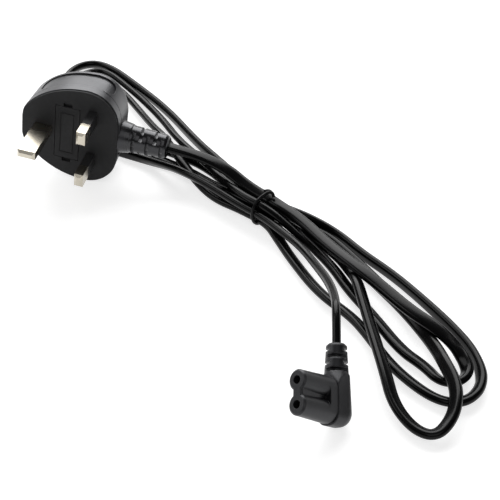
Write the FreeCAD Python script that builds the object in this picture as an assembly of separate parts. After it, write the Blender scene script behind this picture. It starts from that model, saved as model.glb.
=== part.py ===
import FreeCAD, Part
import math
import os
from FreeCAD import Vector, Rotation, Placement

# Plug, in millimetres: x runs from the earth pin to the boot, y goes in from the face, z is across
BODY_DEPTH = 19.0
PLATE_DEPTH = 1.2
PLATE_SCALE = 0.985
BACK_SCALE = 0.965
BACK_ROUND = 1.8
OUTLINE_CENTRE_X = 12.0
EARTH_END_X = -10.2
BOOT_END_X = 34.2
OUTLINE_HALF = [
    [(EARTH_END_X, 4.0), (-9.3, 8.1), (-7.3, 11.2)],
    [(-7.3, 11.2), (2.2, 19.1), (17.0, 23.5)],
    [(17.0, 23.5), (28.7, 20.2), (33.5, 11.7)],
    [(33.5, 11.7), (34.05, 9.0), (BOOT_END_X, 6.0)],
]
BASE_BLOCK_SCALE = 0.78
BASE_BLOCK_DEPTH = 10.0
POCKET_EASE = 0.004
SEAM_Y = 5.4
SEAM_WIDTH = 0.35
SEAM_SCALE = 0.982
GRIP_X = (-4.5, 28.5)
GRIP_LONG = 10.4
GRIP_DEPTH = 0.8
GRIP_ROUND = 4.2

# Pins of the three-pin plug
PIN_ROW_X = 22.23
PIN_SIDE_Z = 11.115
BLADE_WIDE = 6.35
BLADE_THICK = 3.975
BLADE_LONG = 17.7
EARTH_WIDE = 7.95
EARTH_LONG = 22.73
PIN_CHAMFER = 1.1
SLEEVE_LONG = 9.5
SLEEVE_WALL = 0.45
SEAT_DEPTH = 0.8
PIN_TAIL_Y = 12.8
TAIL_THICK = 2.4

# Fuse and its carrier
FUSE_X = 10.9
FUSE_R = 3.15
FUSE_LONG = 25.4
CAP_LONG = 5.8
CARRIER_LIP = 0.8
CARRIER_WALL = 2.3
CARRIER_THICK = 1.6
RAIL_SHORT = 0.5
RAIL_HIGH = 3.6
SLIDE_GAP = 0.25
CLIP_GAP = 0.25
CLIP_THICK = 0.5
CLIP_LONG = 3.6
CLIP_INSET = 0.5
PRY_SLOT = (4.0, 1.2, 1.2)
FRAME_INSET = (2.3, 3.0)
FRAME_LINE = 0.5
FRAME_DEEP = 0.25

# Plug boot
BOOT_Y = 7.4
COLLAR_R = 7.3
COLLAR_END_R = 6.6
COLLAR_LONG = 4.6
BOOT_ROOT_R = 6.2
BOOT_TIP_R = 5.5
BOOT_TIP_X = 55.6
BOOT_NOTCH = 1.5
BOOT_CORE_R = 4.0
BOOT_WEB = 5.6
BOOT_NOTCH_X = (39.6, 42.8, 46.0, 49.2, 52.4)

# Cord
CORD_R = 2.0
CORD_IN_PLUG_X = 46.0
CORD_OUT_X = 66.0
CORE_R = 0.85
CORE_OFF = 1.0
CORE_TURNS = [(39.0, CORE_OFF), (33.5, 6.0), (29.0, PIN_SIDE_Z)]
CORE_RISE_Y = 9.0
BEND_SHARE = 0.45

# Connector: nose along -x, boot along +y, thickness along z, axes cross at the origin
SOCKET_PITCH = 8.6
LOBE_R = 3.8
SOCKET_R = 1.55
SOCKET_DEEP = 14.0
FACE_X = -21.7
FACE_CHAMFER = 0.6
SEAM_X = -4.8
NOSE_FLARE_Y = 0.5
NOSE_FLARE_Z = 0.8
WAIST_HALF_Z = 2.1
WAIST_LONG = 13.2
WAIST_ROUND = 2.4
REAR_X = 5.9
REAR_END_Y = -9.0
REAR_SEAM_Y = 9.0
SHOULDER_Y = 10.4
SHOULDER_SLOPE = 0.5
REAR_HALF_Z = 4.75
HEEL_ROUND = 5.4
EDGE_ROUND = 4.1
CONTACT_R = 2.05
CONTACT_START = 3.4
CONTACT_TAIL_R = 1.2
CON_BOOT_R = (4.4, 3.8)
CON_BOOT_TIP_Y = 21.2
CON_BOOT_NOTCH = 1.2
CON_BOOT_CORE_R = 2.8
CON_BOOT_WEB = 4.6
CON_BOOT_TURN = 40.0
CON_BOOT_NOTCH_Y = (10.7, 13.2, 15.7, 18.2)
CORD_IN_CONNECTOR_Y = 13.0
CORD_OUT_Y = 32.0

# Wire tie: half the wire, its middle, the bundle's direction and the points of its one turn and curled end,
# each as across the bundle, up, and along it
TIE_R = 0.55
TIE_CENTRE = (100.2, -12.9, 7.6)
TIE_ALONG = (0.88, -0.47, 0.0)
TIE_ROUTE = [
    (-2.4, 9.8, 1.0), (-0.6, 11.6, 1.0), (1.8, 10.0, 0.9), (0.4, 7.2, 0.8), (-3.8, 7.0, 0.7),
    (-7.8, 3.2, 0.5), (-7.8, -3.2, 0.3), (-3.6, -7.0, 0.1), (3.6, -7.0, -0.1), (7.8, -3.2, -0.3),
    (7.8, 3.2, -0.5), (3.8, 7.0, -0.7), (-2.2, 7.1, -0.9),
]

# Places in the photograph's layout, moved at the end so that the origin lies under the plug and connector
PLUG_HEIGHT = 26.26
PLUG_TILT = 7.9
CONNECTOR_AT = (150.86, -120.5, 7.74)
CONNECTOR_TURN = (41.2, 39.2, 43.3)
ORIGIN = (73.065, -59.568, 0.0)

plug_place = Placement(Vector(0, 0, PLUG_HEIGHT), Rotation(Vector(0, 1, 0), PLUG_TILT))
connector_place = Placement(Vector(*CONNECTOR_AT), Rotation(*CONNECTOR_TURN))


def plug_point(x, y, z):
    return plug_place.multVec(Vector(x, y, z))


def connector_point(along):
    return connector_place.multVec(Vector(0, along, 0))


# The cord's hand-chosen route, from the plug's boot to the connector's boot
ROUTE = [
    # from the plug through the tie and out along the upper loop
    plug_point(CORD_IN_PLUG_X, BOOT_Y, 0), plug_point(CORD_OUT_X, BOOT_Y, 0),
    (82.5, 0.8, 15.4), (94.4, -6.9, 11.9), (108.4, -14.5, 11.2), (121.5, -20.6, 9.2),
    (134.2, -30.2, 8.2), (146, -42, 8.5), (158.2, -53.2, 7.8), (171.5, -66.5, 7.2),
    (182.0, -74.3, 6.9), (189.3, -79.8, 5.2), (193.7, -85.0, 3.4), (195.2, -91.2, 2.4),
    (192.4, -97.0, 2.3), (186.6, -97.4, 2.3), (179.5, -90.4, 2.3), (171.0, -83.6, 2.3),
    (157.3, -65.4, 2.3), (147.6, -53.2, 2.3), (138.4, -41.6, 2.5), (128.6, -32.4, 4.2),
    (117.5, -25.2, 8.2), (106.0, -18.9, 11.1),
    # round the middle loop behind the plug
    (92.0, -11.3, 10.9), (80.5, 2.0, 8.5), (69.5, 16.5, 7.2), (57, 33.0, 5.2), (41, 52.6, 2.6),
    (24.5, 67.2, 2.3), (11.1, 80.0, 2.3), (1.9, 88.5, 2.3), (-5.5, 90.5, 2.3), (-11.6, 86.0, 2.3),
    (-14.5, 77.5, 2.3), (-13.8, 67.5, 2.3), (-9.6, 56.5, 2.3), (-2.1, 46.2, 2.3), (7.6, 37.4, 2.3),
    (19.5, 30.8, 2.3), (46.5, 22.6, 2.3), (60.0, 17.0, 2.3), (72.5, 8.8, 2.5), (83.5, -1.2, 4.7),
    (93.2, -9.1, 7.3),
    # out along the front loop and back
    (107.2, -16.7, 7.2), (118.5, -21.0, 4.6), (129.8, -27.0, 2.7), (139.6, -35.6, 2.5),
    (145.2, -43.6, 4.4), (148.6, -52.6, 7.0), (152.0, -62.5, 7.2), (156.3, -75.0, 7.1), (161.0, -88.0, 7.0),
    (166.0, -101.5, 6.4), (172.0, -113.0, 3.8), (178.8, -120.2, 2.4), (186.3, -121.8, 2.6),
    (191.4, -116.6, 4.6), (192.6, -109, 6.6), (190.9, -101, 6.9), (187.8, -92.5, 6.6),
    (183.6, -83.3, 4.8), (177.8, -72.5, 2.5), (168.5, -60.0, 2.3), (157.0, -47.6, 2.3), (145.2, -35, 2.3),
    (132.8, -22.6, 2.3), (120.5, -17.0, 2.6), (108.4, -14.5, 3.6),
    # round the inner loop behind the plug
    (94.4, -6.9, 3.6), (84.0, 4.6, 2.5), (72.8, 15.6, 2.3), (59.5, 23.3, 2.3), (31, 32.5, 2.3),
    (17.5, 37.7, 2.3), (6.7, 45.6, 2.3), (-1.6, 56, 2.3), (-6.8, 67.0, 2.3), (-8.4, 75.8, 2.3),
    (-5, 82.0, 2.3), (1.2, 82.4, 2.3), (7.2, 77.4, 2.3), (14.6, 70.0, 2.3), (27.5, 55.5, 2.5),
    (38.8, 42.0, 4.8), (47.5, 31.0, 7.0), (57.5, 18.5, 7.3), (64.2, 10.2, 5.4), (70.5, 2.8, 2.5),
    (80, -5.8, 2.4), (92.0, -11.3, 3.6),
    # out along the outer loop and back
    (106.0, -18.9, 3.6), (112.0, -27.5, 2.4), (121.2, -39.5, 2.3), (136.2, -57.4, 2.3),
    (148.8, -68.6, 2.3), (156.6, -77.7, 2.3), (167.0, -92.6, 2.3), (180.0, -103.8, 2.3),
    (188.8, -107.6, 2.3), (195.8, -105.6, 2.3), (200.2, -99.5, 2.3), (201.2, -91.0, 2.3),
    (196.8, -78.8, 2.3), (187.6, -66.0, 2.3), (176.2, -52.8, 2.3), (162.8, -39.4, 2.3), (148.2, -28.6, 2.3),
    (136.6, -18.6, 2.5), (122.8, -13.2, 4.4), (109.6, -12.3, 7.3),
    # round the largest loop behind the plug
    (95.6, -4.7, 7.3), (87.2, 7.8, 4.7), (76.5, 20.8, 2.7), (61.1, 35.8, 2.3), (39.3, 61.0, 2.3),
    (16.2, 81.6, 2.3), (1.1, 96.6, 2.3), (-10.3, 97.6, 2.3), (-18.1, 87.0, 2.3), (-19.7, 72.5, 2.3),
    (-15.1, 57.0, 2.3), (-6.8, 43.4, 2.3), (4.1, 32.8, 2.3), (15.8, 25.4, 2.3), (29.0, 21.4, 2.3),
    (41.0, 17.6, 2.4), (49.0, 12.4, 4.6), (57.5, 7.0, 6.8), (69.5, 0.4, 7.3), (80.5, -6.4, 7.4),
    (90.9, -13.5, 7.3),
    # the lead to the connector
    (104.9, -21.3, 7.4), (113.4, -28.3, 7.2), (123.3, -38, 8.0), (131.5, -51.4, 11.0),
    (138.6, -65.8, 16.0), (143.5, -79.5, 21.0), connector_point(CORD_OUT_Y),
    connector_point(CORD_IN_CONNECTOR_Y),
]


def box(x0, x1, y0, y1, z0, z1):
    return Part.makeBox(x1 - x0, y1 - y0, z1 - z0, Vector(x0, y0, z0))


def cut_all(shape, tools):
    for tool in tools:
        shape = shape.cut(tool)
    return shape


def outline_wire(scale, y):
    def point(x, z):
        return Vector(OUTLINE_CENTRE_X + (x - OUTLINE_CENTRE_X) * scale, y, z * scale)

    first, last = OUTLINE_HALF[0][0], OUTLINE_HALF[-1][2]
    edges = []
    for a, b, c in OUTLINE_HALF:
        edges.append(Part.Arc(point(*a), point(*b), point(*c)).toShape())
    edges.append(Part.LineSegment(point(*last), point(last[0], -last[1])).toShape())
    for a, b, c in reversed(OUTLINE_HALF):
        edges.append(Part.Arc(point(c[0], -c[1]), point(b[0], -b[1]), point(a[0], -a[1])).toShape())
    edges.append(Part.LineSegment(point(first[0], -first[1]), point(*first)).toShape())
    return Part.Wire(edges)


def outline_slab(scale, y0, y1):
    return Part.Face(outline_wire(scale, y0)).extrude(Vector(0, y1 - y0, 0))


def revolve_profile(points):
    # points are (along, radius) pairs, turned about the x axis
    corners = [Vector(a, r, 0) for a, r in points]
    wire = Part.makePolygon(corners + [corners[0]])
    return Part.Face(wire).revolve(Vector(0, 0, 0), Vector(1, 0, 0), 360)


def ring(start, wide, inner, outer):
    axis = Vector(1, 0, 0)
    at = Vector(start, 0, 0)
    return Part.makeCylinder(outer, wide, at, axis).cut(Part.makeCylinder(inner, wide, at, axis))


def notched(boot, starts, wide, core, outer, web):
    # ring grooves with two webs left, turned a quarter from one groove to the next
    for count, start in enumerate(starts):
        groove = ring(start, wide, core, outer)
        if count % 2:
            bridge = box(start, start + wide, -outer, outer, -web / 2, web / 2)
        else:
            bridge = box(start, start + wide, -web / 2, web / 2, -outer, outer)
        boot = boot.cut(groove.cut(bridge))
    return boot


def bent_wire(points):
    # straight runs joined by tangent arcs; returns the wire and the arcs' radii
    edges = []
    radii = []
    start = points[0]
    for before, here, after in zip(points, points[1:], points[2:]):
        run_in = here - before
        run_out = after - here
        reach = BEND_SHARE * min(run_in.Length, run_out.Length)
        run_in.normalize()
        run_out.normalize()
        half_turn = run_in.getAngle(run_out) / 2
        radius = reach / math.tan(half_turn)
        arc_start = here - run_in * reach
        arc_end = here + run_out * reach
        towards = run_out - run_in
        towards.normalize()
        middle = here + towards * (radius / math.cos(half_turn) - radius)
        edges.append(Part.LineSegment(start, arc_start).toShape())
        edges.append(Part.Arc(arc_start, middle, arc_end).toShape())
        radii.append(radius)
        start = arc_end
    edges.append(Part.LineSegment(start, points[-1]).toShape())
    return Part.Wire(edges), radii


def round_tube(points, radius):
    path, radii = bent_wire(points)
    along = points[1] - points[0]
    section = Part.Wire([Part.Circle(points[0], along, radius).toShape()])
    return path.makePipeShell([section], True, False), path.Length, radii


def pin(half_x, half_z, length, neck):
    # a chamfered blade along -y, seated in the face; the neck under its sleeve is thinner
    blade = box(-half_x, half_x, -length, SEAT_DEPTH, -half_z, half_z)
    tip = [edge for edge in blade.Edges if edge.BoundBox.YMax < -length + 0.01]
    blade = blade.makeChamfer(PIN_CHAMFER, tip)
    if neck:
        sleeve = box(-half_x, half_x, -SLEEVE_LONG, SEAT_DEPTH, -half_z, half_z)
        core = box(-half_x + SLEEVE_WALL, half_x - SLEEVE_WALL, -SLEEVE_LONG, SEAT_DEPTH,
                   -half_z + SLEEVE_WALL, half_z - SLEEVE_WALL)
        sleeve = sleeve.cut(core)
        blade = blade.cut(sleeve)
    else:
        sleeve = None
    root = box(-half_x + SLEEVE_WALL, half_x - SLEEVE_WALL, SEAT_DEPTH, BASE_BLOCK_DEPTH,
               -half_z + SLEEVE_WALL, half_z - SLEEVE_WALL)
    tail = box(-TAIL_THICK / 2, TAIL_THICK / 2, BASE_BLOCK_DEPTH, PIN_TAIL_Y,
               -half_z + SLEEVE_WALL, half_z - SLEEVE_WALL)
    blade = blade.fuse(root).removeSplitter()
    return blade.fuse(tail).removeSplitter(), sleeve


shapes = {}

# Pins and sleeves
earth, unused = pin(EARTH_WIDE / 2, BLADE_THICK / 2, EARTH_LONG, False)
shapes["earth_pin"] = earth
for name, side in (("live", 1), ("neutral", -1)):
    blade, sleeve = pin(BLADE_THICK / 2, BLADE_WIDE / 2, BLADE_LONG, True)
    shift = Vector(PIN_ROW_X, 0, side * PIN_SIDE_Z)
    blade.translate(shift)
    sleeve.translate(shift)
    shapes[name + "_pin"] = blade
    shapes[name + "_pin_sleeve"] = sleeve

# Fuse, its carrier and the clips it is pushed into
fuse_y = CARRIER_THICK + FUSE_R
fuse_half = FUSE_LONG / 2
barrel_half = fuse_half - CAP_LONG
across = Vector(0, 0, 1)


def fuse_piece(z0, z1):
    return Part.makeCylinder(FUSE_R, z1 - z0, Vector(FUSE_X, fuse_y, z0), across)


shapes["fuse_barrel"] = fuse_piece(-barrel_half, barrel_half)
shapes["fuse_cap_upper"] = fuse_piece(barrel_half, fuse_half)
shapes["fuse_cap_lower"] = fuse_piece(-fuse_half, -barrel_half)

carrier_half_x = FUSE_R + CARRIER_WALL
carrier_half_z = fuse_half + CARRIER_LIP
rail_half = barrel_half - RAIL_SHORT
carrier = box(FUSE_X - carrier_half_x, FUSE_X + carrier_half_x, 0, CARRIER_THICK,
              -carrier_half_z, carrier_half_z)
rails = box(FUSE_X - carrier_half_x, FUSE_X + carrier_half_x, CARRIER_THICK, CARRIER_THICK + RAIL_HIGH,
            -rail_half, rail_half)
carrier = carrier.fuse(rails).cut(shapes["fuse_barrel"])
carrier = carrier.cut(box(FUSE_X - FUSE_R, FUSE_X + FUSE_R, fuse_y, BODY_DEPTH,
                          -rail_half, rail_half))
frame_x = carrier_half_x - FRAME_INSET[0]
frame_z = carrier_half_z - FRAME_INSET[1]
frame_outer = box(FUSE_X - frame_x, FUSE_X + frame_x, -1, FRAME_DEEP, -frame_z, frame_z)
frame_inner = box(FUSE_X - frame_x + FRAME_LINE, FUSE_X + frame_x - FRAME_LINE, -1, FRAME_DEEP,
                  -frame_z + FRAME_LINE, frame_z - FRAME_LINE)
shapes["fuse_carrier"] = carrier.cut(frame_outer.cut(frame_inner)).removeSplitter()

clip_inner = FUSE_R + CLIP_GAP
clip_outer = clip_inner + CLIP_THICK
chamber_floor = fuse_y + clip_outer
for name, side in (("fuse_clip_upper", 1), ("fuse_clip_lower", -1)):
    clip_end = fuse_half - CLIP_INSET
    z0, z1 = sorted((side * (clip_end - CLIP_LONG), side * clip_end))
    clip = box(FUSE_X - clip_outer, FUSE_X + clip_outer, fuse_y - 1.2, chamber_floor, z0, z1)
    shapes[name] = clip.cut(box(FUSE_X - clip_inner, FUSE_X + clip_inner, 0, chamber_floor - CLIP_THICK,
                                z0, z1))

# Face plate and fuse chamber
plate = outline_slab(PLATE_SCALE, 0, PLATE_DEPTH)
block = outline_slab(BASE_BLOCK_SCALE, PLATE_DEPTH, BASE_BLOCK_DEPTH)
base = plate.fuse(block)
chamber = box(FUSE_X - carrier_half_x - SLIDE_GAP, FUSE_X + carrier_half_x + SLIDE_GAP, 0, chamber_floor,
              -carrier_half_z - SLIDE_GAP, carrier_half_z + SLIDE_GAP)
base = base.cut(chamber)
for side in (1, -1):
    slot_z = side * (carrier_half_z + SLIDE_GAP + PRY_SLOT[1] / 2)
    base = base.cut(box(FUSE_X - PRY_SLOT[0] / 2, FUSE_X + PRY_SLOT[0] / 2, 0, PRY_SLOT[2],
                        slot_z - PRY_SLOT[1], slot_z + PRY_SLOT[1]))
pins = [shapes["earth_pin"], shapes["live_pin"], shapes["neutral_pin"]]
sleeves = [shapes["live_pin_sleeve"], shapes["neutral_pin_sleeve"]]
shapes["plug_base"] = cut_all(base, pins + sleeves).removeSplitter()

# Moulded body with its rounded back, seam line and finger grips
bare = Part.makeLoft([outline_wire(1.0, PLATE_DEPTH), outline_wire(BACK_SCALE, BODY_DEPTH)], True, True)
back_edges = [edge for edge in bare.Edges if edge.BoundBox.YMin > BODY_DEPTH - 0.01]
body = bare.makeFillet(BACK_ROUND, back_edges)
seam = outline_slab(1.1, SEAM_Y, SEAM_Y + SEAM_WIDTH).cut(outline_slab(SEAM_SCALE, SEAM_Y, SEAM_Y + SEAM_WIDTH))
half_wide = max(point[1] for arc in OUTLINE_HALF for point in arc)
grip_start = SEAM_Y + SEAM_WIDTH
grip_window = box(GRIP_X[0], GRIP_X[1], grip_start, grip_start + GRIP_LONG, -2 * half_wide, 2 * half_wide)
grip_corners = [edge for edge in grip_window.Edges if edge.BoundBox.ZLength > 3 * half_wide]
grip_window = grip_window.makeFillet(GRIP_ROUND, grip_corners)
shrink = FreeCAD.Matrix()
shrink.scale(1.0, 1.0, 1.0 - GRIP_DEPTH / half_wide)
grip_floor = bare.transformGeometry(shrink)
body = body.cut(grip_window.cut(grip_floor))

# Boot of the plug, on the body's cord end
notch_end = BOOT_TIP_X - 1.6
boot = revolve_profile([
    (BOOT_END_X - 2.0, 0), (BOOT_END_X - 2.0, COLLAR_R), (BOOT_END_X, COLLAR_R),
    (BOOT_END_X + COLLAR_LONG - 0.4, COLLAR_END_R), (BOOT_END_X + COLLAR_LONG, COLLAR_END_R - 0.4),
    (BOOT_END_X + COLLAR_LONG, BOOT_ROOT_R),
    (notch_end, BOOT_TIP_R), (BOOT_TIP_X - 0.5, BOOT_TIP_R - 0.5), (BOOT_TIP_X, BOOT_TIP_R - 1.1),
    (BOOT_TIP_X, 0),
])
boot = notched(boot, BOOT_NOTCH_X, BOOT_NOTCH, BOOT_CORE_R, COLLAR_R + 1, BOOT_WEB)
boot.translate(Vector(0, BOOT_Y, 0))
body = body.cut(seam).fuse(boot)

# Cores from the cord's end to the pins
tail_x = PIN_ROW_X + TAIL_THICK / 2
core_y = (BASE_BLOCK_DEPTH + PIN_TAIL_Y) / 2
for name, side in (("live", 1), ("neutral", -1)):
    points = [Vector(CORD_IN_PLUG_X, BOOT_Y, side * CORE_OFF)]
    for (x, z), y in zip(CORE_TURNS, (BOOT_Y, CORE_RISE_Y, core_y)):
        points.append(Vector(x, y, side * z))
    points.append(Vector(tail_x, core_y, side * PIN_SIDE_Z))
    shapes["plug_" + name + "_core"] = round_tube(points, CORE_R)[0]
cord_bore = Part.makeCylinder(CORD_R, CORD_OUT_X - CORD_IN_PLUG_X, Vector(CORD_IN_PLUG_X, BOOT_Y, 0),
                              Vector(1, 0, 0))
pocket = outline_slab(BASE_BLOCK_SCALE + POCKET_EASE, PLATE_DEPTH, BASE_BLOCK_DEPTH)
hidden = [plate, pocket, cord_bore, shapes["plug_live_core"], shapes["plug_neutral_core"]]
shapes["plug_overmould"] = cut_all(body, hidden + pins).removeSplitter()

plug_nodes = list(shapes)
for name in plug_nodes:
    shapes[name].Placement = plug_place.multiply(shapes[name].Placement)

# Connector nose with its two sockets
half_pitch = SOCKET_PITCH / 2
back = Vector(1, 0, 0)
nose_long = SEAM_X - FACE_X
nose_end_y = half_pitch + LOBE_R + NOSE_FLARE_Y
nose_end_z = LOBE_R + NOSE_FLARE_Z


def stadium_wire(x, half_y, half_z):
    flat = half_y - half_z
    top = Part.Arc(Vector(x, flat, -half_z), Vector(x, half_y, 0), Vector(x, flat, half_z)).toShape()
    low = Part.Arc(Vector(x, -flat, half_z), Vector(x, -half_y, 0), Vector(x, -flat, -half_z)).toShape()
    side = Part.LineSegment(Vector(x, flat, half_z), Vector(x, -flat, half_z)).toShape()
    other = Part.LineSegment(Vector(x, -flat, -half_z), Vector(x, flat, -half_z)).toShape()
    return Part.Wire([top, side, low, other])


nose = Part.makeLoft([stadium_wire(FACE_X, half_pitch + LOBE_R, LOBE_R),
                      stadium_wire(SEAM_X, nose_end_y, nose_end_z)], True, True)
waist = box(FACE_X - 1, FACE_X + WAIST_LONG, -half_pitch, half_pitch, WAIST_HALF_Z, 2 * nose_end_z)
waist_end = [edge for edge in waist.Edges if edge.BoundBox.ZLength > 1 and edge.BoundBox.XMin > FACE_X]
waist = waist.makeFillet(WAIST_ROUND, waist_end)
for side in (1, -1):
    lobe = Part.makeCone(LOBE_R, nose_end_z, nose_long, Vector(FACE_X, side * half_pitch, 0), back)
    waist = waist.cut(lobe)
nose = nose.cut(waist).cut(waist.mirror(Vector(0, 0, 0), Vector(0, 0, 1))).removeSplitter()
rim = [edge for edge in nose.Edges if edge.BoundBox.XMax < FACE_X + 0.01]
nose = nose.makeChamfer(FACE_CHAMFER, rim)

# Connector over-mould: rounded elbow with its heel, and a ribbed boot
profile = [(SEAM_X, REAR_END_Y), (REAR_X, REAR_END_Y), (CON_BOOT_R[0], SHOULDER_Y),
           (-CON_BOOT_R[0], SHOULDER_Y), (SEAM_X, REAR_SEAM_Y)]
corners = [Vector(x, y, -REAR_HALF_Z) for x, y in profile]
rear = Part.Face(Part.makePolygon(corners + corners[:1])).extrude(Vector(0, 0, 2 * REAR_HALF_Z))
heel = [edge for edge in rear.Edges if edge.BoundBox.ZLength > REAR_HALF_Z and edge.BoundBox.XMin > 0
        and edge.BoundBox.YMax < 0]
rear = rear.makeFillet(HEEL_ROUND, heel)
soft = [edge for edge in rear.Edges if edge.BoundBox.ZLength < 0.01 and edge.BoundBox.XMax > SEAM_X + 0.1
        and edge.BoundBox.YMin < REAR_SEAM_Y - 0.1]
rear = rear.makeFillet(EDGE_ROUND, soft)
shoulder_long = SHOULDER_Y - REAR_END_Y
shoulder = Part.makeCone(CON_BOOT_R[0] + SHOULDER_SLOPE * shoulder_long, CON_BOOT_R[0], shoulder_long,
                         Vector(0, REAR_END_Y, 0), Vector(0, 1, 0))
rear = rear.common(shoulder)
con_boot = revolve_profile([
    (SHOULDER_Y - EDGE_ROUND, 0), (SHOULDER_Y - EDGE_ROUND, CON_BOOT_R[0]), (SHOULDER_Y, CON_BOOT_R[0]),
    (CON_BOOT_TIP_Y - 0.8, CON_BOOT_R[1]), (CON_BOOT_TIP_Y, CON_BOOT_R[1] - 0.8), (CON_BOOT_TIP_Y, 0),
])
con_boot = notched(con_boot, CON_BOOT_NOTCH_Y, CON_BOOT_NOTCH, CON_BOOT_CORE_R, CON_BOOT_R[0] + 1, CON_BOOT_WEB)
con_boot.rotate(Vector(0, 0, 0), Vector(1, 0, 0), CON_BOOT_TURN)
con_boot.rotate(Vector(0, 0, 0), Vector(0, 0, 1), 90)
rear = rear.fuse(con_boot)

# Contacts, their tails and the cores behind them
connector_cuts = [Part.makeCylinder(CORD_R, CORD_OUT_Y - CORD_IN_CONNECTOR_Y,
                                    Vector(0, CORD_IN_CONNECTOR_Y, 0), Vector(0, 1, 0))]
sockets = []
contact_end = FACE_X + SOCKET_DEEP
for name, side, core_x in (("upper", 1, -CORE_OFF), ("lower", -1, CORE_OFF)):
    y = side * half_pitch
    mouth = Part.makeCylinder(SOCKET_R, SOCKET_DEEP, Vector(FACE_X, y, 0), back)
    sleeve = Part.makeCylinder(CONTACT_R, SOCKET_DEEP - CONTACT_START,
                               Vector(FACE_X + CONTACT_START, y, 0), back)
    tail = Part.makeCylinder(CONTACT_TAIL_R, SEAM_X + 1.0 - contact_end, Vector(contact_end, y, 0), back)
    contact = sleeve.cut(mouth).fuse(Part.makeCylinder(CONTACT_R, 0.6, Vector(contact_end, y, 0), back))
    shapes["contact_" + name] = contact.fuse(tail).removeSplitter()
    core = [Vector(SEAM_X + 1.0, y, 0), Vector(core_x, y, 0), Vector(core_x, CORD_IN_CONNECTOR_Y, 0)]
    shapes["connector_core_" + name] = round_tube(core, CORE_R)[0]
    sockets += [mouth, shapes["contact_" + name]]
    connector_cuts += [shapes["contact_" + name], shapes["connector_core_" + name]]
shapes["connector_nose"] = cut_all(nose, sockets).removeSplitter()
shapes["connector_overmould"] = cut_all(rear, connector_cuts).removeSplitter()

connector_nodes = [name for name in shapes if name not in plug_nodes]
for name in connector_nodes:
    shapes[name].Placement = connector_place.multiply(shapes[name].Placement)

# Cord
route = [Vector(*point) for point in ROUTE]
cord, cord_length, cord_radii = round_tube(route, CORD_R)
shapes["cord"] = cord
print("cord length", round(cord_length, 1), "mm, section times length",
      round(math.pi * CORD_R ** 2 * cord_length), "volume", round(cord.Volume))
print("bend radii", " ".join(str(round(radius, 1)) for radius in cord_radii))

# Wire tie: one turn round the bundle, with its end curled up on top
along = Vector(*TIE_ALONG)
along.normalize()
tie_turn = Rotation(Vector(0, 0, 1).cross(along), Vector(0, 0, 1), along, "ZXY")
tie = round_tube([Vector(*point) for point in TIE_ROUTE], TIE_R)[0]
tie.Placement = Placement(Vector(*TIE_CENTRE), tie_turn)
shapes["wire_tie"] = tie

# Move to the row's origin and write every piece
os.makedirs("parts", exist_ok=True)
for name, shape in shapes.items():
    shape.translate(Vector(-ORIGIN[0], -ORIGIN[1], -ORIGIN[2]))
    shape.exportStep("parts/" + name + ".step")
fixed = Part.makeCompound([shapes[name] for name in plug_nodes + connector_nodes])
bounds = fixed.optimalBoundingBox(False)
print("plug and connector", [round(v, 3) for v in (bounds.XMin, bounds.XMax, bounds.YMin, bounds.YMax,
                                                   bounds.ZMin, bounds.ZMax)])
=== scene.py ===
import math

import bpy
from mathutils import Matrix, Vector


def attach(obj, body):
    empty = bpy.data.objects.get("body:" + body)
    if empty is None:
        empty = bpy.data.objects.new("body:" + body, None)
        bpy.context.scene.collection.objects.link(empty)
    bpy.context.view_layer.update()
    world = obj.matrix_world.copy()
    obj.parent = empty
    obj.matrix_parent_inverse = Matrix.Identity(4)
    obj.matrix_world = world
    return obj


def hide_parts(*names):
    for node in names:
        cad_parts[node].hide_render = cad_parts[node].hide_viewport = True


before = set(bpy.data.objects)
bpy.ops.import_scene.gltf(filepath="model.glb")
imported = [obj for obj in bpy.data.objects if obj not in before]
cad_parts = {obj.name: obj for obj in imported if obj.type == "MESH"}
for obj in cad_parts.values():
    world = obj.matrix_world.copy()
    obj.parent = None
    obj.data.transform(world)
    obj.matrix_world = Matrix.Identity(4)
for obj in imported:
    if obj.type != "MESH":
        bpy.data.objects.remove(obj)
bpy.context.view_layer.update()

bl_info = {
    "name": "Figure eight power lead",
    "version": (1, 0, 0),
    "blender": (4, 5, 0),
    "location": "View3D > Sidebar > Power lead",
    "description": "Dresses the moulded plug, the coiled flat cord and the figure-eight connector",
    "category": "Object",
}

UP = Vector((0.0, 0.0, 1.0))
WHITE = (1.0, 1.0, 1.0, 1.0)
PINS = ("earth_pin", "live_pin", "neutral_pin")

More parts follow.
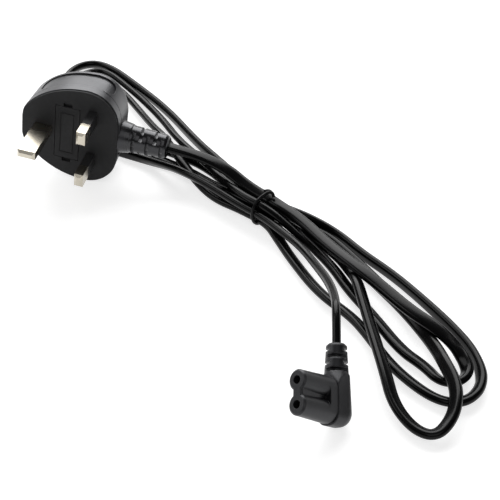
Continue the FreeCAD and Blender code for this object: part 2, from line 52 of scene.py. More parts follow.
# Route of the cord from the plug's boot to the connector's boot, in metres
CORD_ROUTE = [
    (-0.0275, 0.0670, 0.0199), (-0.0077, 0.0670, 0.0172), (0.0094, 0.0604, 0.0162),
    (0.0213, 0.0527, 0.0127), (0.0352, 0.0448, 0.0121), (0.0480, 0.0374, 0.0102),
    (0.0601, 0.0255, 0.0094), (0.0722, 0.0146, 0.0097), (0.0847, 0.0048, 0.0088),
    (0.0982, -0.0077, 0.0085), (0.1089, -0.0147, 0.0081), (0.1162, -0.0202, 0.0060),
    (0.1206, -0.0254, 0.0042), (0.1229, -0.0316, 0.0029), (0.1193, -0.0374, 0.0027),
    (0.1127, -0.0378, 0.0027), (0.1064, -0.0308, 0.0027), (0.0970, -0.0243, 0.0027),
    (0.0832, -0.0061, 0.0027), (0.0728, 0.0060, 0.0027), (0.0647, 0.0179, 0.0030),
    (0.0553, 0.0270, 0.0042), (0.0441, 0.0341, 0.0081), (0.0327, 0.0405, 0.0120),
    (0.0189, 0.0483, 0.0119), (0.0074, 0.0616, 0.0093), (-0.0055, 0.0757, 0.0083),
    (-0.0206, 0.0916, 0.0062), (-0.0339, 0.1117, 0.0031), (-0.0478, 0.1269, 0.0027),
    (-0.0613, 0.1397, 0.0027), (-0.0712, 0.1481, 0.0027), (-0.0786, 0.1501, 0.0027),
    (-0.0847, 0.1456, 0.0027), (-0.0876, 0.1371, 0.0027), (-0.0869, 0.1271, 0.0027),
    (-0.0827, 0.1161, 0.0027), (-0.0752, 0.1058, 0.0027), (-0.0655, 0.0970, 0.0027),
    (-0.0533, 0.0892, 0.0027), (-0.0260, 0.0795, 0.0022), (-0.0127, 0.0747, 0.0022),
    (-0.0003, 0.0670, 0.0024), (0.0107, 0.0573, 0.0056), (0.0202, 0.0502, 0.0077),
    (0.0341, 0.0429, 0.0076), (0.0454, 0.0386, 0.0054), (0.0567, 0.0326, 0.0032),
    (0.0665, 0.0240, 0.0030), (0.0716, 0.0160, 0.0039), (0.0755, 0.0070, 0.0076),
    (0.0789, -0.0029, 0.0080), (0.0832, -0.0154, 0.0079), (0.0879, -0.0284, 0.0078),
    (0.0929, -0.0419, 0.0072), (0.0976, -0.0545, 0.0046), (0.1060, -0.0636, 0.0029),
    (0.1139, -0.0656, 0.0031), (0.1186, -0.0582, 0.0054), (0.1195, -0.0494, 0.0074),
    (0.1178, -0.0414, 0.0077), (0.1139, -0.0331, 0.0074), (0.1103, -0.0237, 0.0051),
    (0.1047, -0.0129, 0.0030), (0.0954, -0.0004, 0.0027), (0.0839, 0.0120, 0.0027),
    (0.0721, 0.0246, 0.0027), (0.0597, 0.0370, 0.0027), (0.0474, 0.0426, 0.0031),
    (0.0353, 0.0451, 0.0038), (0.0213, 0.0527, 0.0038), (0.0108, 0.0648, 0.0030),
    (-0.0005, 0.0762, 0.0027), (-0.0138, 0.0839, 0.0027), (-0.0423, 0.0930, 0.0027),
    (-0.0556, 0.0973, 0.0027), (-0.0664, 0.1052, 0.0027), (-0.0747, 0.1156, 0.0027),
    (-0.0799, 0.1266, 0.0027), (-0.0815, 0.1354, 0.0027), (-0.0781, 0.1416, 0.0027),
    (-0.0719, 0.1420, 0.0027), (-0.0659, 0.1370, 0.0027), (-0.0576, 0.1298, 0.0027),
    (-0.0454, 0.1152, 0.0030), (-0.0357, 0.1013, 0.0056), (-0.0267, 0.0903, 0.0078),
    (-0.0182, 0.0775, 0.0085), (-0.0113, 0.0693, 0.0076), (-0.0017, 0.0610, 0.0037),
    (0.0074, 0.0541, 0.0029), (0.0189, 0.0483, 0.0038), (0.0329, 0.0407, 0.0038),
    (0.0389, 0.0321, 0.0029), (0.0471, 0.0199, 0.0027), (0.0612, 0.0018, 0.0027),
    (0.0757, -0.0090, 0.0027), (0.0835, -0.0181, 0.0027), (0.0939, -0.0330, 0.0027),
    (0.1069, -0.0442, 0.0027), (0.1157, -0.0480, 0.0027), (0.1227, -0.0460, 0.0027),
    (0.1271, -0.0399, 0.0027), (0.1281, -0.0314, 0.0027), (0.1237, -0.0192, 0.0027),
    (0.1143, -0.0069, 0.0027), (0.1027, 0.0056, 0.0027), (0.0892, 0.0187, 0.0027),
    (0.0747, 0.0297, 0.0027), (0.0632, 0.0403, 0.0030), (0.0496, 0.0461, 0.0052),
    (0.0365, 0.0473, 0.0081), (0.0225, 0.0549, 0.0081), (0.0141, 0.0674, 0.0055),
    (0.0034, 0.0804, 0.0032), (-0.0120, 0.0954, 0.0027), (-0.0338, 0.1206, 0.0027),
    (-0.0568, 0.1408, 0.0027), (-0.0721, 0.1536, 0.0027), (-0.0842, 0.1570, 0.0027),
    (-0.0927, 0.1482, 0.0027), (-0.0928, 0.1321, 0.0027), (-0.0882, 0.1166, 0.0027),
    (-0.0799, 0.1030, 0.0027), (-0.0690, 0.0924, 0.0027), (-0.0573, 0.0850, 0.0027),
    (-0.0441, 0.0810, 0.0027), (-0.0321, 0.0772, 0.0029), (-0.0241, 0.0720, 0.0054),
    (-0.0154, 0.0660, 0.0084), (-0.0033, 0.0588, 0.0094), (0.0076, 0.0524, 0.0091),
    (0.0179, 0.0459, 0.0085), (0.0318, 0.0383, 0.0084), (0.0403, 0.0313, 0.0080),
    (0.0502, 0.0216, 0.0088), (0.0584, 0.0082, 0.0118), (0.0655, -0.0062, 0.0168),
    (0.0704, -0.0199, 0.0210), (0.0729, -0.0343, 0.0247), (0.0758, -0.0501, 0.0146),
]

# How far the flat cord is rolled about its own line, in degrees, at some of the route's points
CORD_ROLL = [
    (0, 180), (2.4, 154), (3.1, 156), (3.8, 182), (6.4, 182), (7.6, 166), (9.6, 166), (10.7, 184),
    (11.8, 142), (13, 130), (16.5, 160), (18, 155), (21, 145), (24, 136), (28, 128), (33, 148), (38, 166),
    (40.5, 208), (44, 212), (45, 202), (48, 216), (52, 215), (56.5, 208), (60, 222), (66, 215), (72, 220),
    (78, 226), (84, 236), (87, 228), (90, 198), (92, 200), (94, 211), (101, 212), (102, 224), (103, 240),
    (104, 260), (107, 278), (116, 280), (119.5, 310), (124, 296), (129, 232), (134, 224), (136.6, 248),
    (138, 258), (140, 268),
]

# Middle of the wire tie and the bundle's direction there
TIE_CENTRE = Vector((0.027135, 0.046668, 0.0076))
TIE_ALONG = Vector((0.88, -0.47, 0.0)).normalized()

# The tie's curled end and one turn, as metres across the bundle, up and along it, from its middle
TIE_ROUTE = [
    (0.0021, 0.0070, 0.0066), (0.0026, 0.0082, 0.0059), (0.0025, 0.0087, 0.0045),
    (0.0014, 0.0082, 0.0034), (-0.0016, 0.0077, 0.0029), (-0.0052, 0.0068, 0.0028),
    (-0.0075, 0.0030, 0.0027), (-0.0075, -0.0008, 0.0026), (-0.0055, -0.0046, 0.0026),
    (-0.0018, -0.0067, 0.0025), (0.0024, -0.0069, 0.0023), (0.0060, -0.0052, 0.0021),
    (0.0078, -0.0010, 0.0019), (0.0075, 0.0028, 0.0017), (0.0056, 0.0067, 0.0015),
    (0.0024, 0.0076, 0.0014),
]

# How lines are drawn: order of the splines, points that count as one, and the tie's steps along and round
SPLINE_ORDER = 3
SAME_PLACE = 1e-6
TIE_STEPS = 8
TIE_ROUNDNESS = 4

# Edges: the angles above which they stay sharp or are rounded, and how finely
NODE_SHARP = math.radians(32)
CORD_SHARP = math.radians(50)
ROUND_ABOVE = math.radians(30)
ROUND_SEGMENTS = 2
SOFT_EDGE_SAMPLES = 6

# The plug's boot: where its gloss and its painted shade start and are full, in metres along x, the share of
# colour its painted shade leaves, its gloss
BOOT_START = -0.039
BOOT_FULL = -0.035
BOOT_PAINTED_SHADE = 0.2
BOOT_GLOSS = 0.24

# Surface: depth of the grain in metres, tone of rubbed edges, dust and how much shows, tint of reflections
GRAIN_DEPTH = 0.00005
RUBBED_TONE = 2.6
DUST_COLOUR = (0.2, 0.2, 0.2)
MOULDED_DUST = 0.05
SHEATH_DUST = 0.03
MOULDED_TINT = (0.95, 0.955, 1.0, 1.0)

# The Mix node's places of its two colours and its colour result
MIX_LOW = 6
MIX_HIGH = 7
MIX_RESULT = 2

# The floor's glow near the lead and far from it, and the distances of both, in metres
GLOW_NEAR = 0.72
GLOW_FAR = 1.0
GLOW_NEAR_REACH = 0.35
GLOW_FAR_REACH = 1.5

# Softboxes, with their places, widths and heights in metres and powers in watts, and where they aim
SOFTBOXES = [
    ("rear softbox", (-0.26, 1.1, 1.0), 1.6, 1.2, 31.0),
    ("left softbox", (-1.2, 0.0, 0.9), 0.8, 0.8, 5.0),
    ("front softbox", (0.3, -1.0, 1.3), 1.2, 1.2, 4.6),
]
SOFTBOX_AIM = Vector((0.02, 0.0, 0.02))
WORLD_STRENGTH = 0.08

# The photograph's view: place in metres, turn and rise as angles, lens and sensor in millimetres
VIEW_PLACE = (0.109265, -0.353792, 0.31408)
VIEW_TURN = math.radians(12.11)
VIEW_RISE = math.radians(38.95)
VIEW_LENS = 85.31
VIEW_SENSOR = 36.0


class LeadSizes(bpy.types.PropertyGroup):
    """Sizes of the pieces and the stage that are made here"""

    cord_width: bpy.props.FloatProperty(
        name="Cord width", description="Width of the flat cord", default=0.0054, min=0.003, unit="LENGTH")
    cord_thickness: bpy.props.FloatProperty(
        name="Cord thickness", description="Thickness of the flat cord",
        default=0.0032, min=0.002, unit="LENGTH")
    cord_sides: bpy.props.IntProperty(
        name="Points per round edge", description="Points on each rounded edge of the cord", default=9, min=4)
    cord_steps: bpy.props.IntProperty(
        name="Steps per route point", description="Sections of cord between two points of the route",
        default=10, min=3)
    cord_length: bpy.props.FloatProperty(
        name="Cord length", description="Length of the cord from plug to connector",
        default=1.99, unit="LENGTH")
    tie_thickness: bpy.props.FloatProperty(
        name="Tie thickness", description="Thickness of the covered wire of the tie",
        default=0.0014, min=0.0005, unit="LENGTH")
    pin_round: bpy.props.FloatProperty(
        name="Pin rounding", description="Rounding of the pins' edges", default=0.0002, unit="LENGTH")
    floor_size: bpy.props.FloatProperty(
        name="Floor size", description="Side of the floor", default=12.0, unit="LENGTH")
    backdrop_height: bpy.props.FloatProperty(
        name="Backdrop height", description="Height of the backdrop round the floor",
        default=1.0, unit="LENGTH")


class LeadColours(bpy.types.PropertyGroup):
    """Colours of the finishes"""

    face: bpy.props.FloatVectorProperty(
        name="Face plate", description="Matte moulded face of the plug", subtype="COLOR",
        default=(0.026, 0.026, 0.0265))
    body: bpy.props.FloatVectorProperty(
        name="Over-mould", description="Satin moulding round the plug and the connector", subtype="COLOR",
        default=(0.0125, 0.0127, 0.0146))
    cord: bpy.props.FloatVectorProperty(
        name="Cord sheath", description="Semi-gloss sheath of the cord", subtype="COLOR",
        default=(0.0016, 0.0016, 0.0018))
    live_core: bpy.props.FloatVectorProperty(
        name="Live core", description="Sheath of the live core", subtype="COLOR", default=(0.16, 0.06, 0.025))
    neutral_core: bpy.props.FloatVectorProperty(
        name="Neutral core", description="Sheath of the neutral core", subtype="COLOR",
        default=(0.02, 0.1, 0.36))
    nickel: bpy.props.FloatVectorProperty(
        name="Plated pins", description="Plating of the pins", subtype="COLOR", default=(0.55, 0.51, 0.43))
    brass: bpy.props.FloatVectorProperty(
        name="Contacts", description="Brass of the contacts and clips", subtype="COLOR",
        default=(0.72, 0.55, 0.26))
    ceramic: bpy.props.FloatVectorProperty(
        name="Fuse barrel", description="Ceramic of the fuse", subtype="COLOR", default=(0.8, 0.78, 0.72))
    floor: bpy.props.FloatVectorProperty(
        name="Floor", description="Pale floor", subtype="COLOR", default=(0.56, 0.56, 0.56))


def node_group(name, inputs, outputs):
    # an empty shader group with its sockets, ready to be filled
    group = bpy.data.node_groups.new(name, "ShaderNodeTree")
    for title, kind, value in inputs:
        socket = group.interface.new_socket(name=title, in_out="INPUT", socket_type=kind)
        socket.default_value = value
    for title, kind in outputs:
        group.interface.new_socket(name=title, in_out="OUTPUT", socket_type=kind)
    return group, group.nodes.new("NodeGroupInput"), group.nodes.new("NodeGroupOutput")


def combine(tree, operation, first, second):
    # a Math node of the tree, fed by two sockets
    node = tree.nodes.new("ShaderNodeMath")
    node.operation = operation
    tree.links.new(first, node.inputs[0])
    tree.links.new(second, node.inputs[1])
    return node.outputs["Value"]


def noise(tree, place, detail):
    # a Noise node of the tree, laid out by the place socket
    node = tree.nodes.new("ShaderNodeTexNoise")
    node.inputs["Detail"].default_value = detail
    tree.links.new(place, node.inputs["Vector"])
    return node


def moulded_skin_group():
    # fine spark-erosion grain with broad soft unevenness of colour and gloss
    group, entry, result = node_group(
        "Moulded skin",
        [("Grain scale", "NodeSocketFloat", 2600.0), ("Patch scale", "NodeSocketFloat", 90.0)],
        [("Height", "NodeSocketFloat"), ("Patches", "NodeSocketFloat")])
    place = group.nodes.new("ShaderNodeTexCoord").outputs["Object"]
    grain = noise(group, place, 3.0)
    grain.inputs["Roughness"].default_value = 0.6
    patches = noise(group, place, 4.0)
    group.links.new(entry.outputs["Grain scale"], grain.inputs["Scale"])
    group.links.new(entry.outputs["Patch scale"], patches.inputs["Scale"])
    group.links.new(grain.outputs["Fac"], result.inputs["Height"])
    group.links.new(patches.outputs["Fac"], result.inputs["Patches"])
    return group


def worn_edge_group():
    # pale rubbed edges, broken up by noise
    group, entry, result = node_group(
        "Rubbed edges",
        [("Start", "NodeSocketFloat", 0.53), ("End", "NodeSocketFloat", 0.62)],
        [("Wear", "NodeSocketFloat")])
    shape = group.nodes.new("ShaderNodeNewGeometry")
    breaks = noise(group, group.nodes.new("ShaderNodeTexCoord").outputs["Object"], 4.0)
    breaks.inputs["Scale"].default_value = 420.0
    edge = group.nodes.new("ShaderNodeMapRange")
    group.links.new(shape.outputs["Pointiness"], edge.inputs["Value"])
    group.links.new(entry.outputs["Start"], edge.inputs["From Min"])
    group.links.new(entry.outputs["End"], edge.inputs["From Max"])
    wear = combine(group, "MULTIPLY", edge.outputs["Result"], breaks.outputs["Fac"])
    group.links.new(wear, result.inputs["Wear"])
    return group


def dust_group():
    # sparse pale specks and a thin film on what faces up
    group, entry, result = node_group(
        "Dust",
        [("Speck scale", "NodeSocketFloat", 900.0), ("Film", "NodeSocketFloat", 0.15)],
        [("Dust", "NodeSocketFloat")])
    place = group.nodes.new("ShaderNodeTexCoord")
    specks = group.nodes.new("ShaderNodeTexVoronoi")
    group.links.new(place.outputs["Object"], specks.inputs["Vector"])
    group.links.new(entry.outputs["Speck scale"], specks.inputs["Scale"])
    spots = group.nodes.new("ShaderNodeMapRange")
    spots.inputs["From Min"].default_value = 0.09
    spots.inputs["From Max"].default_value = 0.03
    group.links.new(specks.outputs["Distance"], spots.inputs["Value"])
    shape = group.nodes.new("ShaderNodeNewGeometry")
    split = group.nodes.new("ShaderNodeSeparateXYZ")
    group.links.new(shape.outputs["Normal"], split.inputs["Vector"])
    upward = group.nodes.new("ShaderNodeMapRange")
    upward.inputs["From Min"].default_value = 0.2
    upward.inputs["From Max"].default_value = 1.0
    group.links.new(split.outputs["Z"], upward.inputs["Value"])
    film = combine(group, "MULTIPLY", upward.outputs["Result"], entry.outputs["Film"])
    group.links.new(combine(group, "MAXIMUM", film, spots.outputs["Result"]), result.inputs["Dust"])
    return group


def drawn_lines_group():
    # long fine lines along one axis, as drawn metal has
    group, entry, result = node_group(
        "Drawn lines",
        [("Stretch", "NodeSocketVector", (1.0, 0.04, 1.0)), ("Scale", "NodeSocketFloat", 1500.0)],
        [("Lines", "NodeSocketFloat")])
    place = group.nodes.new("ShaderNodeTexCoord")
    stretch = group.nodes.new("ShaderNodeVectorMath")
    stretch.operation = "MULTIPLY"
    group.links.new(place.outputs["Object"], stretch.inputs[0])
    group.links.new(entry.outputs["Stretch"], stretch.inputs[1])
    lines = noise(group, stretch.outputs["Vector"], 3.0)
    group.links.new(entry.outputs["Scale"], lines.inputs["Scale"])
    group.links.new(lines.outputs["Fac"], result.inputs["Lines"])
    return group


def boot_side_group():
    # rises from nothing on the plug's body to one on its boot, where the boot's gloss and painted shade are
    # put
    group, entry, result = node_group(
        "Boot side",
        [("Start", "NodeSocketFloat", BOOT_START), ("Full", "NodeSocketFloat", BOOT_FULL)],
        [("Boot", "NodeSocketFloat")])
    place = group.nodes.new("ShaderNodeTexCoord")
    split = group.nodes.new("ShaderNodeSeparateXYZ")
    group.links.new(place.outputs["Object"], split.inputs["Vector"])
    side = group.nodes.new("ShaderNodeMapRange")
    group.links.new(split.outputs["X"], side.inputs["Value"])
    group.links.new(entry.outputs["Start"], side.inputs["From Min"])
    group.links.new(entry.outputs["Full"], side.inputs["From Max"])
    group.links.new(side.outputs["Result"], result.inputs["Boot"])
    return group


def shared_group(name):
    # the group of that name, built when it is first asked for
    makers = {"Moulded skin": moulded_skin_group, "Rubbed edges": worn_edge_group, "Dust": dust_group,
              "Drawn lines": drawn_lines_group, "Boot side": boot_side_group}
    return bpy.data.node_groups.get(name) or makers[name]()


def toned(colour, share):
    # the colour made darker or lighter
    return tuple(min(1.0, part * share) for part in colour)


class Finish:
    """A material with its Principled shader and short ways to add effects"""

    def __init__(self, name):
        self.material = bpy.data.materials.new(name)
        self.material.use_nodes = True
        self.nodes = self.material.node_tree.nodes
        self.links = self.material.node_tree.links
        self.shader = self.nodes["Principled BSDF"]

    def set(self, **values):
        for key, value in values.items():
            self.shader.inputs[key.replace("_", " ")].default_value = value

    def feed(self, title, value):
        self.links.new(value, self.shader.inputs[title])

    def group(self, name, **values):
        node = self.nodes.new("ShaderNodeGroup")
        node.node_tree = shared_group(name)
        for key, value in values.items():
            node.inputs[key.replace("_", " ")].default_value = value
        return node

    def mix(self, factor, low, high):
        node = self.nodes.new("ShaderNodeMix")
        node.data_type = "RGBA"
        self.links.new(factor, node.inputs["Factor"])
        for place, value in ((MIX_LOW, low), (MIX_HIGH, high)):
            if isinstance(value, bpy.types.NodeSocket):
                self.links.new(value, node.inputs[place])
            else:
                node.inputs[place].default_value = (*value, 1.0)
        return node.outputs[MIX_RESULT]

    def spread(self, value, low, high, start=0.3, end=0.7):
        node = self.nodes.new("ShaderNodeMapRange")
        self.links.new(value, node.inputs["Value"])
        for title, number in (("From Min", start), ("From Max", end), ("To Min", low), ("To Max", high)):
            node.inputs[title].default_value = number
        return node.outputs["Result"]

    def uneven_colour(self, patches, colour, share):
        factor = self.spread(patches, 0.0, 1.0)
        return self.mix(factor, toned(colour, 1.0 - share), toned(colour, 1.0 + share))

    def uneven_gloss(self, patches, gloss, less, more):
        return self.spread(patches, gloss - less, gloss + more)

    def dusted(self, dust, amount, colour):
        return self.mix(self.spread(dust.outputs["Dust"], 0.0, amount, 0.0, 1.0), colour, DUST_COLOUR)

    def bump(self, height, strength, normal=None):
        node = self.nodes.new("ShaderNodeBump")
        node.inputs["Strength"].default_value = strength
        node.inputs["Distance"].default_value = GRAIN_DEPTH
        self.links.new(height, node.inputs["Height"])
        if normal is not None:
            self.links.new(normal, node.inputs["Normal"])
        return node.outputs["Normal"]

    def soft_edges(self, radius):
        node = self.nodes.new("ShaderNodeBevel")
        node.samples = SOFT_EDGE_SAMPLES
        node.inputs["Radius"].default_value = radius
        return node.outputs["Normal"]


def moulded_finish(name, colour, gloss, grain, edge=0.00025, film=0.1, wear=0.4, shine=0.4, boot=False):
    # moulded plastic: grain, uneven gloss, rubbed edges and a little dust, and on a boot a smoother gloss
    # with painted shade that darkens its colour
    finish = Finish(name)
    skin = finish.group("Moulded skin", Grain_scale=grain)
    worn = finish.group("Rubbed edges")
    dust = finish.group("Dust", Film=film)
    tone = finish.uneven_colour(skin.outputs["Patches"], colour, share=0.15)
    rubbing = finish.spread(worn.outputs["Wear"], 0.0, wear, 0.0, 1.0)
    tone = finish.mix(rubbing, tone, toned(colour, RUBBED_TONE))
    tone = finish.dusted(dust, MOULDED_DUST, tone)
    rough = finish.uneven_gloss(skin.outputs["Patches"], gloss, less=0.04, more=0.05)
    if boot:
        side = finish.group("Boot side").outputs["Boot"]
        # painted shade: the colour is darkened on the boot to stand in for the shade its rings are in
        tone = finish.mix(side, tone, toned(colour, BOOT_PAINTED_SHADE))
        rough = finish.mix(side, rough, (BOOT_GLOSS, BOOT_GLOSS, BOOT_GLOSS))
    finish.feed("Base Color", tone)
    finish.feed("Roughness", rough)
    finish.feed("Normal", finish.bump(skin.outputs["Height"], strength=0.3, normal=finish.soft_edges(edge)))
    finish.set(Specular_IOR_Level=shine, Specular_Tint=MOULDED_TINT)
    return finish.material


def plated_finish(name, colour, gloss, stretch):
    # plated metal with faint drawn lines and handling marks
    finish = Finish(name)
    lines = finish.group("Drawn lines", Stretch=stretch)
    skin = finish.group("Moulded skin", Grain_scale=700.0, Patch_scale=60.0)
    along = finish.spread(lines.outputs["Lines"], 0.0, 1.0)
    finish.feed("Base Color", finish.mix(along, colour, toned(colour, 0.98)))
    finish.feed("Roughness", finish.uneven_gloss(skin.outputs["Patches"], gloss, less=0.01, more=0.02))
    finish.set(Metallic=1.0)
    return finish.material


def sheath_finish(name, colour, gloss):
    # extruded sheath: soft gloss, slight waviness and dust
    finish = Finish(name)
    skin = finish.group("Moulded skin", Grain_scale=1500.0, Patch_scale=55.0)
    dust = finish.group("Dust", Film=0.12, Speck_scale=700.0)
    tone = finish.uneven_colour(skin.outputs["Patches"], colour, share=0.2)
    finish.feed("Base Color", finish.dusted(dust, SHEATH_DUST, tone))
    finish.feed("Roughness", finish.uneven_gloss(skin.outputs["Patches"], gloss, less=0.03, more=0.05))
    finish.feed("Normal", finish.bump(skin.outputs["Height"], strength=0.16))
    finish.set(Specular_IOR_Level=0.15)
    return finish.material


def floor_finish(colour):
    # pale floor that glows for the camera and in reflections, a little less round the lead
    finish = Finish("pale floor")
    finish.set(Base_Color=(*colour, 1.0), Roughness=0.8, Specular_IOR_Level=0.1)
    tree = finish.material.node_tree
    rays = finish.nodes.new("ShaderNodeLightPath").outputs
    seen = rays["Is Camera Ray"]
    for title in ("Is Glossy Ray", "Is Transmission Ray"):
        seen = combine(tree, "MAXIMUM", seen, rays[title])
    place = finish.nodes.new("ShaderNodeNewGeometry")
    reach = finish.nodes.new("ShaderNodeVectorMath")
    reach.operation = "LENGTH"
    finish.links.new(place.outputs["Position"], reach.inputs[0])
    level = finish.spread(reach.outputs["Value"], GLOW_NEAR, GLOW_FAR, GLOW_NEAR_REACH, GLOW_FAR_REACH)
    glow = finish.nodes.new("ShaderNodeEmission")
    glow.inputs["Color"].default_value = WHITE
    finish.links.new(combine(tree, "MULTIPLY", seen, level), glow.inputs["Strength"])
    total = finish.nodes.new("ShaderNodeAddShader")
    finish.links.new(finish.shader.outputs["BSDF"], total.inputs[0])
    finish.links.new(glow.outputs["Emission"], total.inputs[1])
    finish.links.new(total.outputs["Shader"], finish.nodes["Material Output"].inputs["Surface"])
    return finish.material


def dress(material, *names):
    # the finish goes on these nodes, shaded smooth with their real edges kept sharp
    for name in names:
        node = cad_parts[name]
        node.data.materials.clear()
        node.data.materials.append(material)
        node.data.shade_smooth()
        node.data.set_sharp_from_angle(angle=NODE_SHARP)


def round_edges(width, *names):
    # small rounds on the sharp edges of these nodes
    for name in names:
        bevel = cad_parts[name].modifiers.new("rounded edges", "BEVEL")
        bevel.width = width
        bevel.segments = ROUND_SEGMENTS
        bevel.limit_method = "ANGLE"
        bevel.angle_limit = ROUND_ABOVE
        bevel.harden_normals = True


def rolls_along(count):
    # roll for each of count sections, eased between the listed points of the route
    last = len(CORD_ROUTE) - 1
    rolls = []
    for step in range(count):
        place = last * step / (count - 1)
        for (start, low), (end, high) in zip(CORD_ROLL, CORD_ROLL[1:]):
            if start <= place <= end:
                share = (place - start) / (end - start)
                eased = share * share * (3 - 2 * share)
                rolls.append(math.radians(low + (high - low) * eased))
                break
    return rolls


def route_curve(name, route, steps):
    # an object with the NURBS spline that has the route as its control points
    curve = bpy.data.curves.new(name, "CURVE")
    curve.dimensions = "3D"
    spline = curve.splines.new("NURBS")
    spline.points.add(len(route) - 1)
    for point, place in zip(spline.points, route):
        point.co = (*place, 1.0)
    spline.order_u = SPLINE_ORDER
    spline.use_endpoint_u = True
    spline.resolution_u = steps
    return bpy.data.objects.new(name, curve)


def spline_points(name, route, steps):
    # points along the route's spline
    holder = route_curve(name, route, steps)
    curve = holder.data
    mesh = bpy.data.meshes.new_from_object(holder)
    points = []
    for vertex in mesh.vertices:
        if not points or (vertex.co - points[-1]).length > SAME_PLACE:
            points.append(vertex.co.copy())
    bpy.data.objects.remove(holder)
    bpy.data.curves.remove(curve)
    bpy.data.meshes.remove(mesh)
    return points


def flat_section(width, thickness, sides):
    # corners of the flat oval, as (across, through) pairs
    radius = thickness / 2
    reach = width / 2 - radius
    corners = []
    for centre, start in ((reach, -90), (-reach, 90)):
        for step in range(sides):
            angle = math.radians(start + 180 * step / (sides - 1))
            corners.append((centre + radius * math.cos(angle), radius * math.sin(angle)))
    return corners


def swept_mesh(name, points, rolls, corners):
    # the section carried along the points, with closed ends
    vertices = []
    for index, point in enumerate(points):
        ahead = points[min(index + 1, len(points) - 1)] - points[max(index - 1, 0)]
        ahead.normalize()
        side = ahead.cross(UP).normalized()
        rise = side.cross(ahead)
        turn = rolls[index]
        across = side * math.cos(turn) + rise * math.sin(turn)
        through = rise * math.cos(turn) - side * math.sin(turn)
        vertices += [point + across * a + through * b for a, b in corners]
    count = len(corners)
    faces = []
    for ring in range(len(points) - 1):
        for corner in range(count):
            here = ring * count + corner
            beside = ring * count + (corner + 1) % count
            faces.append((here, beside, beside + count, here + count))
    faces.append(tuple(reversed(range(count))))
    faces.append(tuple(range(len(vertices) - count, len(vertices))))
    mesh = bpy.data.meshes.new(name)
    mesh.from_pydata(vertices, [], faces)
    mesh.validate()
    mesh.shade_smooth()
    mesh.set_sharp_from_angle(angle=CORD_SHARP)
    piece = bpy.data.objects.new(name, mesh)
    bpy.context.scene.collection.objects.link(piece)
    return piece


class LEAD_OT_stage(bpy.types.Operator):
    """Floor with its backdrop, light and camera"""

    bl_idname = "lead.stage"
    bl_label = "Stage"

    def execute(self, context):
        scene = context.scene
        scene.view_settings.view_transform = "Standard"
        self.floor(scene)
        self.world(scene)
        self.lamps(scene)
        self.camera(scene)
        return {"FINISHED"}

    def floor(self, scene):
        half = scene.lead_sizes.floor_size / 2
        corners = [(-half, -half), (half, -half), (half, half), (-half, half)]
        count = len(corners)
        vertices = [(x, y, z) for z in (0.0, scene.lead_sizes.backdrop_height) for x, y in corners]
        faces = [tuple(range(count))]
        for side in range(count):
            beside = (side + 1) % count
            faces.append((side, beside, beside + count, side + count))
        mesh = bpy.data.meshes.new("floor")
        mesh.from_pydata(vertices, [], faces)
        mesh.materials.append(floor_finish(scene.lead_colours.floor))
        floor = bpy.data.objects.new("floor", mesh)
        scene.collection.objects.link(floor)

    def world(self, scene):
        world = bpy.data.worlds.new("studio")
        world.use_nodes = True
        background = world.node_tree.nodes["Background"]
        background.inputs["Color"].default_value = WHITE
        background.inputs["Strength"].default_value = WORLD_STRENGTH
        scene.world = world

    def lamps(self, scene):
        for name, place, width, height, power in SOFTBOXES:
            lamp = bpy.data.lights.new(name, "AREA")
            lamp.shape = "RECTANGLE"
            lamp.size = width
            lamp.size_y = height
            lamp.energy = power
            holder = bpy.data.objects.new(name, lamp)
            holder.location = place
            holder.rotation_euler = (SOFTBOX_AIM - Vector(place)).to_track_quat("-Z", "Y").to_euler()
            scene.collection.objects.link(holder)

    def camera(self, scene):
        lens = bpy.data.cameras.new("photograph view")
        lens.sensor_width = VIEW_SENSOR
        lens.lens = VIEW_LENS
        camera = bpy.data.objects.new("photograph view", lens)
        level = math.cos(VIEW_RISE)
        back = Vector((math.sin(VIEW_TURN) * level, -math.cos(VIEW_TURN) * level, math.sin(VIEW_RISE)))
        camera.location = VIEW_PLACE
        camera.rotation_euler = (-back).to_track_quat("-Z", "Y").to_euler()
        scene.collection.objects.link(camera)
        scene.camera = camera


class LEAD_OT_cord(bpy.types.Operator):
    """Flat cord along its route"""

    bl_idname = "lead.cord"
    bl_label = "Cord"

    def execute(self, context):
        sizes = context.scene.lead_sizes
        points = spline_points("cord line", CORD_ROUTE, sizes.cord_steps)
        corners = flat_section(sizes.cord_width, sizes.cord_thickness, sizes.cord_sides)
        cord = swept_mesh("flat_cord", points, rolls_along(len(points)), corners)
        cord.data.materials.append(sheath_finish("cord sheath", context.scene.lead_colours.cord, gloss=0.21))
        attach(cord, "lead")
        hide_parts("cord")
        return {"FINISHED"}


class LEAD_OT_plug(bpy.types.Operator):
    """Finishes of the plug's mouldings"""

    bl_idname = "lead.plug"
    bl_label = "Plug mouldings"

    def execute(self, context):
        colours = context.scene.lead_colours
        dress(moulded_finish("satin over-mould", colours.body, gloss=0.37, grain=2200.0, shine=0.62,
                             boot=True),
              "plug_overmould")
        dress(moulded_finish("matte face", colours.face, gloss=0.62, grain=3000.0, film=0.0, shine=0.2),
              "plug_base", "fuse_carrier")
        dress(moulded_finish("pin sleeve", toned(colours.face, 0.9), gloss=0.42, grain=2600.0, film=0.0,
                             shine=0.2),
              "live_pin_sleeve", "neutral_pin_sleeve")
        return {"FINISHED"}


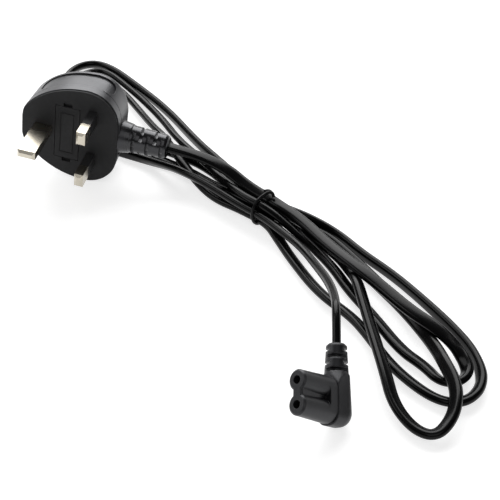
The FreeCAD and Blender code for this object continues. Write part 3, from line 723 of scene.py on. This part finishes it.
class LEAD_OT_metal(bpy.types.Operator):
    """Finishes of the pins, the fuse and the contacts"""

    bl_idname = "lead.metal"
    bl_label = "Pins, fuse and contacts"

    def execute(self, context):
        colours = context.scene.lead_colours
        dress(plated_finish("plated pin", colours.nickel, gloss=0.26, stretch=(1.0, 0.05, 1.0)), *PINS)
        round_edges(context.scene.lead_sizes.pin_round, *PINS)
        dress(plated_finish("plated fuse cap", toned(colours.nickel, 1.02), gloss=0.3,
                            stretch=(1.0, 1.0, 0.1)),
              "fuse_cap_upper", "fuse_cap_lower")
        dress(plated_finish("contact brass", colours.brass, gloss=0.3, stretch=(1.0, 0.2, 1.0)),
              "fuse_clip_upper", "fuse_clip_lower", "contact_upper", "contact_lower")
        dress(moulded_finish("fuse ceramic", colours.ceramic, gloss=0.25, grain=1200.0, film=0.0, wear=0.0),
              "fuse_barrel")
        return {"FINISHED"}


class LEAD_OT_connector(bpy.types.Operator):
    """Finishes of the figure-eight connector and of the cores in both boots"""

    bl_idname = "lead.connector"
    bl_label = "Connector"

    def execute(self, context):
        colours = context.scene.lead_colours
        dress(moulded_finish("connector over-mould", toned(colours.body, 0.55), gloss=0.42, grain=2400.0,
                             edge=0.0012, film=0.05, shine=0.46),
              "connector_overmould")
        dress(moulded_finish("connector nose", toned(colours.body, 0.5), gloss=0.38, grain=2800.0,
                             edge=0.0004, film=0.05, shine=0.5),
              "connector_nose")
        dress(sheath_finish("brown core", colours.live_core, gloss=0.35),
              "plug_live_core", "connector_core_upper")
        dress(sheath_finish("blue core", colours.neutral_core, gloss=0.35),
              "plug_neutral_core", "connector_core_lower")
        return {"FINISHED"}


class LEAD_OT_tie(bpy.types.Operator):
    """Covered wire, one turn round the bundle with its end curled up"""

    bl_idname = "lead.tie"
    bl_label = "Wire tie"

    def execute(self, context):
        scene = context.scene
        across = UP.cross(TIE_ALONG)
        route = [TIE_CENTRE + across * side + UP * rise + TIE_ALONG * run for side, rise, run in TIE_ROUTE]
        tie = route_curve("wire_tie_wrap", route, TIE_STEPS)
        tie.data.bevel_depth = scene.lead_sizes.tie_thickness / 2
        tie.data.bevel_resolution = TIE_ROUNDNESS
        tie.data.use_fill_caps = True
        tie.data.materials.append(sheath_finish("tie covering", scene.lead_colours.cord, gloss=0.32))
        scene.collection.objects.link(tie)
        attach(tie, "lead")
        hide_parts("wire_tie")
        return {"FINISHED"}


class LEAD_PT_panel(bpy.types.Panel):
    """Steps that dress the lead"""

    bl_idname = "LEAD_PT_panel"
    bl_label = "Power lead"
    bl_space_type = "VIEW_3D"
    bl_region_type = "UI"
    bl_category = "Power lead"

    def draw(self, context):
        for group in (context.scene.lead_sizes, context.scene.lead_colours):
            for name in group.__annotations__:
                self.layout.prop(group, name)
        for step in STEPS:
            self.layout.operator(step.bl_idname)


STEPS = (LEAD_OT_stage, LEAD_OT_cord, LEAD_OT_plug, LEAD_OT_metal, LEAD_OT_connector, LEAD_OT_tie)
CLASSES = (LeadSizes, LeadColours, *STEPS, LEAD_PT_panel)


def register():
    for cls in CLASSES:
        bpy.utils.register_class(cls)
    bpy.types.Scene.lead_sizes = bpy.props.PointerProperty(type=LeadSizes)
    bpy.types.Scene.lead_colours = bpy.props.PointerProperty(type=LeadColours)


def unregister():
    del bpy.types.Scene.lead_colours
    del bpy.types.Scene.lead_sizes
    for cls in reversed(CLASSES):
        bpy.utils.unregister_class(cls)


def main():
    register()
    bpy.ops.lead.stage()
    bpy.ops.lead.cord()
    bpy.ops.lead.plug()
    bpy.ops.lead.metal()
    bpy.ops.lead.connector()
    bpy.ops.lead.tie()


if __name__ == "__main__":
    main()
